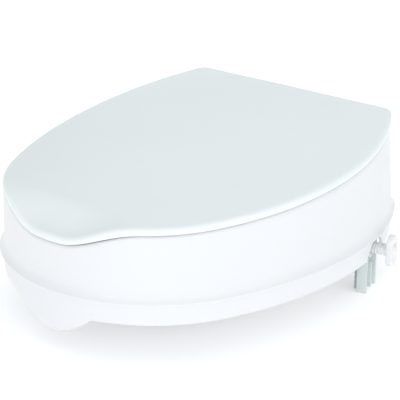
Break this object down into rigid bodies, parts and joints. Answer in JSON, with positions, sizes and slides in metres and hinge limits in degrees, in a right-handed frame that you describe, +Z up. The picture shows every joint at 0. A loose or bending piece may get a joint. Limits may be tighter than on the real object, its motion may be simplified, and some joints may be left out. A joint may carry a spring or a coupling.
{
  "type": "raised toilet seat",
  "caption": "Raised toilet seat with hinged lid, seat rim dipped at the front, band and tongue around the bowl, and side screw clamps with hand knobs.",
  "frame": {"origin": "middle of the plane in which the rim pads rest on the bowl, midway between the body's front and rear", "axes": "+Z up; -Y towards the front of the bowl; +X to the left of a seated person"},
  "size_m": [0.3888, 0.4109, 0.1734],
  "materials": {
    "body_plastic": "smooth moulded white, soft gloss",
    "lid_plastic": "smooth moulded white, soft gloss",
    "bracket_plastic": "grey-green moulded plastic, satin",
    "knob_plastic": "moulded white, slightly worn gloss",
    "pin_plastic": "satin white acetal",
    "bearing_plastic": "satin natural acetal",
    "rubber": "soft grey elastomer, matt",
    "steel": "plain zinc-plated steel"
  },
  "bodies": {
    "base": {"seat_shell": "body_plastic", "base_ring": "body_plastic", "base_screws": "steel", "tongue_pad": "rubber", "rim_pad_front_right": "rubber", "rim_pad_front_left": "rubber", "rim_pad_rear_left": "rubber", "rim_pad_rear_right": "rubber", "lid_hinge_pin_right": "pin_plastic", "clamp_nut_right": "bearing_plastic", "lid_hinge_pin_left": "pin_plastic", "clamp_nut_left": "bearing_plastic"},
    "lid": {"lid": "lid_plastic", "lid_hinge_bush_right": "bearing_plastic", "lid_buffer_front_right": "rubber", "lid_buffer_rear_right": "rubber", "lid_hinge_bush_left": "bearing_plastic", "lid_buffer_front_left": "rubber", "lid_buffer_rear_left": "rubber"},
    "clamp_right": {"clamp_bracket_right": "bracket_plastic", "clamp_pad_right": "rubber"},
    "knob_right": {"clamp_screw_right": "knob_plastic", "clamp_knob_right": "knob_plastic", "clamp_clip_right": "steel"},
    "clamp_left": {"clamp_bracket_left": "bracket_plastic", "clamp_pad_left": "rubber"},
    "knob_left": {"clamp_screw_left": "knob_plastic", "clamp_knob_left": "knob_plastic", "clamp_clip_left": "steel"}
  },
  "joints": [
    {"name": "lid_hinge", "type": "hinge", "parent": "base", "child": "lid", "pos_m": [0, 0.201, 0.0988], "axis": [-1, 0, 0], "range_deg": [0, 105]},
    {"name": "clamp_slide_right", "type": "slide", "parent": "base", "child": "clamp_right", "axis": [-0.9736, -0.2284, 0], "range_m": [0, 0.007]},
    {"name": "knob_spin_right", "type": "hinge", "parent": "clamp_right", "child": "knob_right", "pos_m": [0.17555, 0.1094, -0.0115], "axis": [-0.9736, -0.2284, 0], "range_deg": [0, 841]},
    {"name": "clamp_slide_left", "type": "slide", "parent": "base", "child": "clamp_left", "axis": [0.9736, -0.2284, 0], "range_m": [0, 0.007]},
    {"name": "knob_spin_left", "type": "hinge", "parent": "clamp_left", "child": "knob_left", "pos_m": [-0.17555, 0.1094, -0.0115], "axis": [0.9736, -0.2284, 0], "range_deg": [0, 841]}
  ],
  "couplings": [
    {"joint": "knob_spin_right", "follows": "clamp_slide_right", "rad_per_m": 2094.4},
    {"joint": "knob_spin_left", "follows": "clamp_slide_left", "rad_per_m": 2094.4}
  ]
}
